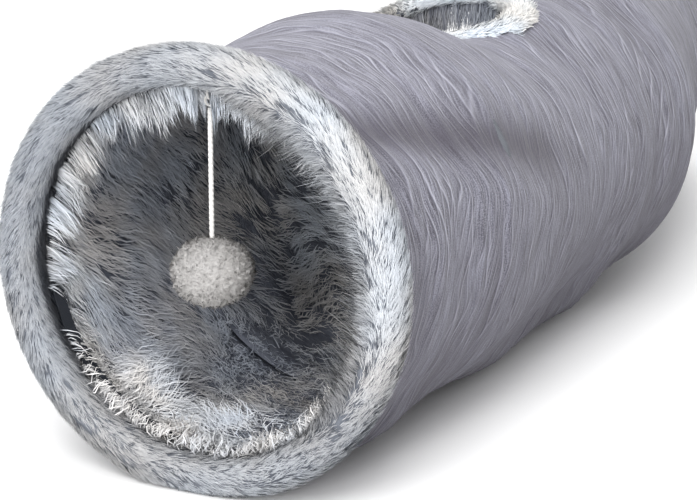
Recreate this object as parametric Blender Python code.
"""Furry pet tunnel: a soft cover and a plush lining on spring steel hoops, furry rolls round both ends,
a furry peephole in the top and a pom-pom that hangs inside the front mouth.

Metres, +Z up. The origin is on the floor, under the middle of the front roll. The tunnel starts along +Y
and bends towards -X.
"""
import math

import bmesh
import bpy
from mathutils import Vector

# Hoops and the wire in them
HOOP_RADIUS = 0.1414          # middle of the wire, at the three inner hoops
WIRE_DIAMETER = 0.003
TAPE_WALL = 0.001             # tape that is folded round a wire
CLEARANCE = 0.0003            # between pieces that touch

# The fabrics
COVER_THICKNESS = 0.0015
LINING_THICKNESS = 0.0035
SAG_SHARE = 0.0175            # how far a panel draws in between its hoops, of the bay's length
FLAT_ANGLE = math.radians(11)     # half of the strip that lies on the floor, seen from the middle
FLAT_BLEND_ANGLE = math.radians(48)
FLAT_START_LENGTH = 0.12      # over which the bottom comes down to the floor, beside a hoop or a roll
SHOULDER_LENGTH = 0.056       # over which the lining comes back out to the cover, beside a hoop or a roll

# The furry rolls round the ends
RIM_WIDTH = 0.032             # from the mouth to the outer edge
RIM_DEPTH = 0.030             # along the tunnel
RIM_SQUASH = 0.004            # how much of the pile the floor flattens
RIM_ROUNDNESS = 2.6           # exponent of the section's outline
RIM_BACK_ANGLE = math.radians(38)

# The seam tapes inside the mouths
SEAM_TAPE_WALL = 0.0012
SEAM_TAPE_WIDTH = 0.012

# Bays between the hoops, from the front
END_BAY_LENGTH = 0.20
MIDDLE_BAY_LENGTH = 0.40
BAY_LENGTHS = (END_BAY_LENGTH, MIDDLE_BAY_LENGTH, MIDDLE_BAY_LENGTH, END_BAY_LENGTH)
BAY_TURN_ANGLES = (0.0, math.radians(4.5), math.radians(25), math.radians(12.5))
BAY_BODIES = ("front_end", "hoop_1", "hoop_2", "hoop_3", "rear_end")    # what carries each bay, then the end
LEAST_TURN = math.radians(8)      # a bay that turns less than this slides shut, and the others fold round

# The peephole
PEEPHOLE_BAY = 1
PEEPHOLE_PLACE_SHARE = 0.5    # its place along its bay
PEEPHOLE_DIAMETER = 0.096     # clear opening
PEEPHOLE_FUR_WIDTH = 0.020
PEEPHOLE_FUR_ABOVE = 0.006    # above the cover
PEEPHOLE_FUR_BELOW = 0.006    # below the lining
PEEPHOLE_DIP = 0.018          # how far the top sinks at the hole
PEEPHOLE_DIP_ANGLE = math.radians(44)

# The pom-pom and what it hangs on
LOOP_RADIUS = 0.0035          # middle of the thread of each small loop
THREAD_DIAMETER = 0.002
ANCHOR_SETBACK = 0.006        # from the seam tape's front edge to the loop
CORD_DIAMETER = 0.0036
CORD_DROP = 0.0836            # from the cord's top to the top of the ball
BALL_DIAMETER = 0.056
BALL_HEIGHT = 0.050
BALL_BORE_SHARE = 0.55        # how deep the cord goes into the ball, of its height

# Numbers of faces
AROUND = 28
PANEL_STEPS_PER_METRE = 18
PEEPHOLE_AROUND = 24
WIRE_SIDES = 6

# Sizes that follow from those above
CASING_HALF = WIRE_DIAMETER / 2 + CLEARANCE + TAPE_WALL
CASING_BORE_HALF = WIRE_DIAMETER / 2 + CLEARANCE
COVER_HOOP_RADIUS = HOOP_RADIUS + CASING_HALF + CLEARANCE + COVER_THICKNESS
LINING_HOOP_RADIUS = HOOP_RADIUS - CASING_HALF - CLEARANCE
CENTRE_HEIGHT = COVER_HOOP_RADIUS
RIM_OUTER_RADIUS = CENTRE_HEIGHT + RIM_SQUASH
RIM_WIRE_RADIUS = RIM_OUTER_RADIUS - RIM_WIDTH / 2
SLOT_HALF = CASING_HALF + CLEARANCE
COVER_RIM_RADIUS = RIM_WIRE_RADIUS + SLOT_HALF + CLEARANCE + COVER_THICKNESS
LINING_RIM_RADIUS = RIM_WIRE_RADIUS - SLOT_HALF - CLEARANCE
RIM_BACK = RIM_DEPTH / 2 * math.cos(RIM_BACK_ANGLE) ** (2 / RIM_ROUNDNESS)
SEAM_TAPE_RADIUS = LINING_RIM_RADIUS - LINING_THICKNESS - CLEARANCE
HOOP_STATIONS = [sum(BAY_LENGTHS[:k]) for k in range(len(BAY_LENGTHS) + 1)]
UP = Vector((0, 0, 1))


def smooth(x):
    """0 below 0, 1 above 1, and smooth between them."""
    x = min(max(x, 0.0), 1.0)
    return x * x * (3 - 2 * x)


def mix(a, b, share):
    return a + (b - a) * share


def forward(heading):
    return Vector((-math.sin(heading), math.cos(heading), 0))


def hoop_places():
    """Middles of the front mouth, of each hoop and of the rear mouth, and the headings there."""
    place, heading = Vector((0, 0, CENTRE_HEIGHT)), 0.0
    places, headings = [place], [heading]
    for length, turn in zip(BAY_LENGTHS, BAY_TURN_ANGLES):
        chord = length * (math.sin(turn / 2) / (turn / 2) if turn else 1.0)
        place = place + chord * forward(heading + turn / 2)
        heading += turn
        places.append(place)
        headings.append(heading)
    return places, headings


HOOP_PLACES, HOOP_HEADINGS = hoop_places()


def frame_at(station):
    """Middle of the tunnel at a station, the direction onwards and the direction to its right.

    The cloth is drawn straight from hoop to hoop, and turns evenly on the way.
    """
    bay = sum(station >= inner for inner in HOOP_STATIONS[1:-1])
    share = (station - HOOP_STATIONS[bay]) / BAY_LENGTHS[bay]
    place = mix(HOOP_PLACES[bay], HOOP_PLACES[bay + 1], share)
    heading = mix(HOOP_HEADINGS[bay], HOOP_HEADINGS[bay + 1], min(max(share, 0.0), 1.0))
    right = Vector((math.cos(heading), math.sin(heading), 0))
    return place, forward(heading), right


def around(station, radius, angle):
    """A point at a radius and an angle (0 right, a quarter turn up) from the middle at a station."""
    place, onward, right = frame_at(station)
    return place + radius * (math.cos(angle) * right + math.sin(angle) * UP)


def material(name, colour, roughness, metallic=0.0):
    found = bpy.data.materials.get(name)
    if found:
        return found
    made = bpy.data.materials.new(name)
    made.use_nodes = True
    shader = made.node_tree.nodes["Principled BSDF"]
    shader.inputs["Base Color"].default_value = (*colour, 1)
    shader.inputs["Roughness"].default_value = roughness
    shader.inputs["Metallic"].default_value = metallic
    return made


def materials():
    return {
        "suede": material("suede", (0.25, 0.24, 0.28), 0.9),
        "plush": material("plush", (0.16, 0.17, 0.20), 0.95),
        "rim_fur": material("rim_fur", (0.62, 0.66, 0.70), 0.95),
        "white_fur": material("white_fur", (0.80, 0.83, 0.86), 0.95),
        "spring_steel": material("spring_steel", (0.45, 0.45, 0.47), 0.35, 1.0),
        "tape": material("tape", (0.20, 0.20, 0.22), 0.9),
        "thread": material("thread", (0.78, 0.77, 0.75), 0.85),
        "pompom_yarn": material("pompom_yarn", (0.82, 0.80, 0.76), 0.95),
    }


def carrier(body, place):
    """The empty that a body's pieces hang on: it stands on the axis that the body moves about or along."""
    made = bpy.data.objects.get(body)
    if made is None:
        made = bpy.data.objects.new(body, None)
        made.location = place
        bpy.context.scene.collection.objects.link(made)
    return made


def bend_centre(bay):
    """The middle of a bay's bend, at the tunnel's height."""
    start, onward, right = frame_at(HOOP_STATIONS[bay])
    return start - BAY_LENGTHS[bay] / BAY_TURN_ANGLES[bay] * right


def make_carriers(loops):
    """One carrier for each body. A bay that bends turns about its bend, and a straight one slides."""
    carrier("front_end", (0, 0, 0))
    for bay in range(len(BAY_LENGTHS)):
        body = BAY_BODIES[bay + 1]
        if BAY_TURN_ANGLES[bay] < LEAST_TURN:
            carrier(body, frame_at(HOOP_STATIONS[bay + 1])[0])
        else:
            carrier(body, bend_centre(bay))
    anchor, link, eye = loops
    carrier("swing_link_place", anchor - LOOP_RADIUS * UP)
    carrier("pompom_place", link - LOOP_RADIUS * UP)


def place_on(made, body):
    """Hangs an object on a body's carrier."""
    made.parent = bpy.data.objects[body]


def add_object(name, body, points, faces, slot):
    """One closed mesh object on its body's carrier, with its faces pointing out."""
    origin = bpy.data.objects[body].location
    mesh = bpy.data.meshes.new(name)
    mesh.from_pydata([tuple(Vector(p) - origin) for p in points], [], faces)
    work = bmesh.new()
    work.from_mesh(mesh)
    bmesh.ops.recalc_face_normals(work, faces=work.faces)
    work.to_mesh(mesh)
    work.free()
    mesh.shade_smooth()
    mesh.set_sharp_from_angle(angle=math.radians(40))
    made = bpy.data.objects.new(name, mesh)
    mesh.materials.append(materials()[slot])
    bpy.context.scene.collection.objects.link(made)
    place_on(made, body)
    return made


def ring_of_sections(name, body, sections, slot):
    """A closed ring: each section is a closed loop of points, and the last meets the first."""
    count = len(sections[0])
    points = [p for section in sections for p in section]
    faces = []
    for j in range(len(sections)):
        after = (j + 1) % len(sections)
        for i in range(count):
            beside = (i + 1) % count
            faces.append((j * count + i, j * count + beside, after * count + beside, after * count + i))
    return add_object(name, body, points, faces, slot)


def turned_ring(name, body, profile, station, slot, back=1):
    """A profile of (onward, radius) pairs turned about the tunnel's middle line, and flat on the floor."""
    sections = []
    for j in range(AROUND):
        angle = math.tau * j / AROUND
        section = [around(station + back * onward_by, radius, angle) for onward_by, radius in profile]
        for p in section:
            p.z = max(p.z, 0.0)
        sections.append(section)
    return ring_of_sections(name, body, sections, slot)


def roll_profile():
    """Section of a furry roll, with the slot in its back that holds the wire and its tape."""
    turn = math.tau - 2 * RIM_BACK_ANGLE
    steps = 12
    outline = []
    for i in range(steps + 1):
        t = RIM_BACK_ANGLE + turn * i / steps
        along, out = math.cos(t), math.sin(t)
        power = 2 / RIM_ROUNDNESS
        outline.append((
            RIM_DEPTH / 2 * math.copysign(abs(along) ** power, along),
            RIM_WIRE_RADIUS + RIM_WIDTH / 2 * math.copysign(abs(out) ** power, out),
        ))
    slot = [
        (RIM_BACK, RIM_WIRE_RADIUS - SLOT_HALF),
        (-SLOT_HALF, RIM_WIRE_RADIUS - SLOT_HALF),
        (-SLOT_HALF, RIM_WIRE_RADIUS + SLOT_HALF),
        (RIM_BACK, RIM_WIRE_RADIUS + SLOT_HALF),
    ]
    return outline + slot


def folded_tape_profile(leg):
    """A U of tape round a wire: (towards the open side, across) pairs, its legs as long as asked."""
    outer, inner = CASING_HALF, CASING_BORE_HALF
    return [
        (leg, outer), (0.0, outer), (-outer, outer / 2), (-outer, -outer / 2), (0.0, -outer), (leg, -outer),
        (leg, -inner), (0.0, -inner), (-inner, -inner / 2), (-inner, inner / 2), (0.0, inner), (leg, inner),
    ]


def rolled_tape_profile():
    """The tape round an end wire: its legs run back to the seam."""
    return [(leg, RIM_WIRE_RADIUS + across) for leg, across in folded_tape_profile(RIM_BACK)]


def hoop_tape_profile():
    """The tape round an inner hoop's wire: its legs run inward to the lining."""
    return [(across, HOOP_RADIUS - leg) for leg, across in folded_tape_profile(CASING_HALF)]


def wire_profile(radius):
    """Section of a wire whose middle lies at a radius."""
    thick, turns = WIRE_DIAMETER / 2, [math.tau * i / WIRE_SIDES for i in range(WIRE_SIDES)]
    return [(thick * math.cos(turn), radius + thick * math.sin(turn)) for turn in turns]


def end_set(prefix, station, back):
    """A furry roll with its wire, the tape round the wire, and the seam tape inside the mouth."""
    body = f"{prefix}_end"
    turned_ring(f"{prefix}_rim_fur", body, roll_profile(), station, "rim_fur", back)
    turned_ring(f"{prefix}_rim_casing", body, rolled_tape_profile(), station, "tape", back)
    turned_ring(f"{prefix}_rim_wire", body, wire_profile(RIM_WIRE_RADIUS), station, "spring_steel", back)
    near = RIM_BACK + CLEARANCE
    far = near + SEAM_TAPE_WIDTH
    inner = SEAM_TAPE_RADIUS - SEAM_TAPE_WALL
    tape = [(near, SEAM_TAPE_RADIUS), (far, SEAM_TAPE_RADIUS), (far, inner), (near, inner)]
    turned_ring(f"{prefix}_seam_tape", body, tape, station, "tape", back)


def hoop_set(number):
    """An inner hoop: the wire and the tape round it."""
    station, body = HOOP_STATIONS[number], BAY_BODIES[number]
    turned_ring(f"hoop_{number}_casing", body, hoop_tape_profile(), station, "tape")
    turned_ring(f"hoop_{number}_wire", body, wire_profile(HOOP_RADIUS), station, "spring_steel")


def bay_ends(bay):
    """Stations of a panel's two ends: at the roll's back, or at the hoop's middle."""
    last = len(BAY_LENGTHS) - 1
    start = HOOP_STATIONS[bay] + (RIM_BACK + CLEARANCE if bay == 0 else CLEARANCE / 2)
    end = HOOP_STATIONS[bay + 1] - (RIM_BACK + CLEARANCE if bay == last else CLEARANCE / 2)
    return start, end


def end_radii(bay, at_rim, at_hoop):
    last = len(BAY_LENGTHS) - 1
    return (at_rim if bay == 0 else at_hoop), (at_rim if bay == last else at_hoop)


def floor_hold(bay, share):
    """How firmly the bottom lies on the floor: 0 at a panel's ends, and most along its middle."""
    bays = BAY_LENGTHS[bay] / FLAT_START_LENGTH
    return smooth(share * bays) * smooth((1 - share) * bays)


def peephole_station():
    return mix(HOOP_STATIONS[PEEPHOLE_BAY], HOOP_STATIONS[PEEPHOLE_BAY + 1], PEEPHOLE_PLACE_SHARE)


def cover_radius(bay, share, angle):
    """Outer radius of the cover at a share of its bay and an angle round it."""
    first, second = end_radii(bay, COVER_RIM_RADIUS, COVER_HOOP_RADIUS)
    radius = mix(first, second, share) - SAG_SHARE * BAY_LENGTHS[bay] * math.sin(math.pi * share)
    if bay == PEEPHOLE_BAY:
        from_top = (angle - math.pi / 2 + math.pi) % math.tau - math.pi
        near = math.exp(-((from_top / PEEPHOLE_DIP_ANGLE) ** 2))
        radius -= PEEPHOLE_DIP * near * math.sin(math.pi * share) ** 2
    from_bottom = abs((angle + math.pi / 2 + math.pi) % math.tau - math.pi)
    if from_bottom < FLAT_BLEND_ANGLE:
        floor = CENTRE_HEIGHT / math.cos(from_bottom)
        hold = 1 - smooth((from_bottom - FLAT_ANGLE) / (FLAT_BLEND_ANGLE - FLAT_ANGLE))
        radius = mix(radius, floor, hold * floor_hold(bay, share))
    return radius


def lining_radius(bay, share, angle):
    """Outer radius of the lining: against the cover, but inside the tape at the hoops and the rolls."""
    first, second = end_radii(bay, LINING_RIM_RADIUS, LINING_HOOP_RADIUS)
    length = BAY_LENGTHS[bay]
    against = cover_radius(bay, share, angle) - COVER_THICKNESS - CLEARANCE
    from_first = smooth(share * length / SHOULDER_LENGTH)
    from_second = smooth((1 - share) * length / SHOULDER_LENGTH)
    radius = mix(first, against, from_first)
    return min(against, mix(second, radius, from_second))


def panel(name, bay, radius_of, thickness, slot):
    """A tube of fabric from one end of a bay to the other, with its true thickness."""
    start, end = bay_ends(bay)
    steps = round(BAY_LENGTHS[bay] * PANEL_STEPS_PER_METRE) + 1
    points, faces = [], []
    for i in range(steps + 1):
        share = 0.5 - 0.5 * math.cos(math.pi * i / steps)
        station = mix(start, end, share)
        for inset in (0.0, thickness):
            for j in range(AROUND):
                angle = math.tau * j / AROUND
                points.append(around(station, radius_of(bay, share, angle) - inset, angle))
    row = 2 * AROUND
    for i in range(steps):
        for j in range(AROUND):
            after = (j + 1) % AROUND
            for side in (0, AROUND):
                a, b = i * row + side, (i + 1) * row + side
                faces.append((a + j, a + after, b + after))
                faces.append((a + j, b + after, b + j))
    for i in (0, steps):
        for j in range(AROUND):
            after = (j + 1) % AROUND
            a = i * row
            faces.append((a + j, a + after, a + AROUND + after, a + AROUND + j))
    return add_object(name, BAY_BODIES[bay], points, faces, slot)


def top_height(station_offset, sideways):
    """Height of the cover's top beside the peephole's middle."""
    station = peephole_station() + station_offset
    share = (station - HOOP_STATIONS[PEEPHOLE_BAY]) / BAY_LENGTHS[PEEPHOLE_BAY]
    angle = math.pi / 2
    for _ in range(12):
        radius = cover_radius(PEEPHOLE_BAY, share, angle)
        angle = math.acos(max(-1.0, min(1.0, sideways / radius)))
    return CENTRE_HEIGHT + radius * math.sin(angle)


def peephole_point(radius, angle, above):
    """A point of the furry ring: a radius and an angle in plan, at a height over the cover's surface."""
    place, onward, right = frame_at(peephole_station())
    along, sideways = radius * math.cos(angle), radius * math.sin(angle)
    p = place + along * onward + sideways * right
    p.z = top_height(along, sideways) + above
    return p


def peephole_fur():
    """The furry ring that lines the hole: it follows the curve of the tunnel's top."""
    inner = PEEPHOLE_DIAMETER / 2
    outer = inner + PEEPHOLE_FUR_WIDTH
    low = -(COVER_THICKNESS + CLEARANCE + LINING_THICKNESS) - PEEPHOLE_FUR_BELOW
    high = PEEPHOLE_FUR_ABOVE
    section_shares = (
        (0.0, 0.25), (0.0, 0.62), (0.14, 0.9), (0.45, 1.0), (0.8, 0.9), (1.0, 0.6),
        (1.0, 0.12), (0.75, 0.0), (0.25, 0.0),
    )
    sections = []
    for j in range(PEEPHOLE_AROUND):
        angle = math.tau * j / PEEPHOLE_AROUND
        sections.append([
            peephole_point(mix(inner, outer, out), angle, mix(low, high, rise)) for out, rise in section_shares
        ])
    return ring_of_sections("peephole_fur", BAY_BODIES[PEEPHOLE_BAY], sections, "white_fur")


def cut_peephole(panels):
    """Cuts the hole for the furry ring out of the panels' tops."""
    place, onward, right = frame_at(peephole_station())
    radius = PEEPHOLE_DIAMETER / 2 + PEEPHOLE_FUR_WIDTH + CLEARANCE
    low, high = CENTRE_HEIGHT, CENTRE_HEIGHT + 2 * COVER_HOOP_RADIUS
    points = []
    for height in (low, high):
        for j in range(PEEPHOLE_AROUND):
            angle = math.tau * j / PEEPHOLE_AROUND
            p = place + radius * math.cos(angle) * onward + radius * math.sin(angle) * right
            points.append(Vector((p.x, p.y, height)))
    count = PEEPHOLE_AROUND
    faces = [(j, (j + 1) % count, count + (j + 1) % count, count + j) for j in range(count)]
    faces += [tuple(range(count)), tuple(range(count, 2 * count))]
    cutter = add_object("peephole_cutter", BAY_BODIES[PEEPHOLE_BAY], points, faces, "tape")
    cutter.hide_render = True
    cutter.display_type = "WIRE"
    for each in panels:
        cut = each.modifiers.new("peephole", "BOOLEAN")
        cut.operation = "DIFFERENCE"
        cut.solver = "EXACT"
        cut.object = cutter


def thread_loop(name, body, centre, across):
    """A small round loop of thread, in the plane of the up direction and the direction across."""
    steps = 2 * WIRE_SIDES
    turns = [math.tau * i / WIRE_SIDES for i in range(WIRE_SIDES)]
    sections = []
    for j in range(steps):
        turn = math.tau * j / steps
        out = math.cos(turn) * across + math.sin(turn) * UP
        away = across.cross(UP)
        sections.append([
            centre + LOOP_RADIUS * out + THREAD_DIAMETER / 2
            * (math.cos(round_turn) * out + math.sin(round_turn) * away)
            for round_turn in turns
        ])
    return ring_of_sections(name, body, sections, "thread")


def loop_places():
    """Middles of the three loops, one hanging in the other under the top of the front seam."""
    place, onward, right = frame_at(RIM_BACK + CLEARANCE + ANCHOR_SETBACK)
    reach = LOOP_RADIUS + THREAD_DIAMETER / 2
    step = 2 * LOOP_RADIUS - THREAD_DIAMETER - CLEARANCE
    anchor = place + (SEAM_TAPE_RADIUS - SEAM_TAPE_WALL - CLEARANCE - reach) * UP
    return anchor, anchor - step * UP, anchor - 2 * step * UP


def pompom_set(anchor, link, eye):
    """The pom-pom, its cord and the three loops that it swings on."""
    right = Vector((1, 0, 0))
    onward = Vector((0, 1, 0))
    reach = LOOP_RADIUS + THREAD_DIAMETER / 2
    thread_loop("anchor_loop", "front_end", anchor, right)
    thread_loop("swing_link", "swing_link_place", link, onward)
    thread_loop("cord_eye", "pompom_place", eye, right)
    top = eye - (reach + CLEARANCE) * UP
    ball = top - (CORD_DROP + BALL_HEIGHT / 2) * UP
    bore_floor = ball + (0.5 - BALL_BORE_SHARE) * BALL_HEIGHT * UP
    cord(top, bore_floor + CLEARANCE * UP)
    pompom_ball(ball, bore_floor)


def cord(top, foot):
    """The braided cord, straight under the pom-pom's weight."""
    steps = round((top - foot).length / (CORD_DIAMETER * 2.5))
    line = bpy.data.curves.new("pompom_cord", "CURVE")
    line.dimensions = "3D"
    line.bevel_depth = CORD_DIAMETER / 2
    line.bevel_resolution = 2
    line.use_fill_caps = True
    route = line.splines.new("POLY")
    route.points.add(steps)
    origin = bpy.data.objects["pompom_place"].location
    for i in range(steps + 1):
        route.points[i].co = (*(top.lerp(foot, i / steps) - origin), 1)
    made = bpy.data.objects.new("pompom_cord", line)
    line.materials.append(materials()["thread"])
    bpy.context.scene.collection.objects.link(made)
    place_on(made, "pompom_place")
    return made


def pompom_ball(centre, bore_floor):
    """The pom-pom, slightly flat from above, with the bore that its cord goes down."""
    bore = CORD_DIAMETER / 2 + CLEARANCE
    rings, sides = 9, 20
    first = math.asin(bore / (BALL_DIAMETER / 2))
    profile = [(bore, bore_floor.z)]
    for i in range(rings + 1):
        t = mix(first, math.pi, i / (rings + 1))
        profile.append((BALL_DIAMETER / 2 * math.sin(t), centre.z + BALL_HEIGHT / 2 * math.cos(t)))
    points = [Vector((centre.x, centre.y, bore_floor.z))]
    for radius, height in profile:
        for j in range(sides):
            turn = math.tau * j / sides
            x, y = centre.x + radius * math.cos(turn), centre.y + radius * math.sin(turn)
            points.append(Vector((x, y, height)))
    points.append(Vector((centre.x, centre.y, centre.z - BALL_HEIGHT / 2)))
    faces = []
    last = len(points) - 1
    for j in range(sides):
        after = (j + 1) % sides
        faces.append((0, 1 + j, 1 + after))
        for i in range(len(profile) - 1):
            a, b = 1 + i * sides, 1 + (i + 1) * sides
            faces.append((a + j, a + after, b + after, b + j))
        end = 1 + (len(profile) - 1) * sides
        faces.append((end + j, end + after, last))
    return add_object("pompom_ball", "pompom_place", points, faces, "pompom_yarn")


def clear_scene():
    for each in list(bpy.data.objects):
        bpy.data.objects.remove(each, do_unlink=True)


def main():
    clear_scene()
    loops = loop_places()
    make_carriers(loops)
    end_set("front", HOOP_STATIONS[0], 1)
    end_set("rear", HOOP_STATIONS[-1], -1)
    for number in range(1, len(HOOP_STATIONS) - 1):
        hoop_set(number)
    holed = []
    for bay in range(len(BAY_LENGTHS)):
        cover = panel(f"cover_bay_{bay + 1}", bay, cover_radius, COVER_THICKNESS, "suede")
        lining = panel(f"lining_bay_{bay + 1}", bay, lining_radius, LINING_THICKNESS, "plush")
        if bay == PEEPHOLE_BAY:
            holed = [cover, lining]
    peephole_fur()
    cut_peephole(holed)
    pompom_set(*loops)


main()
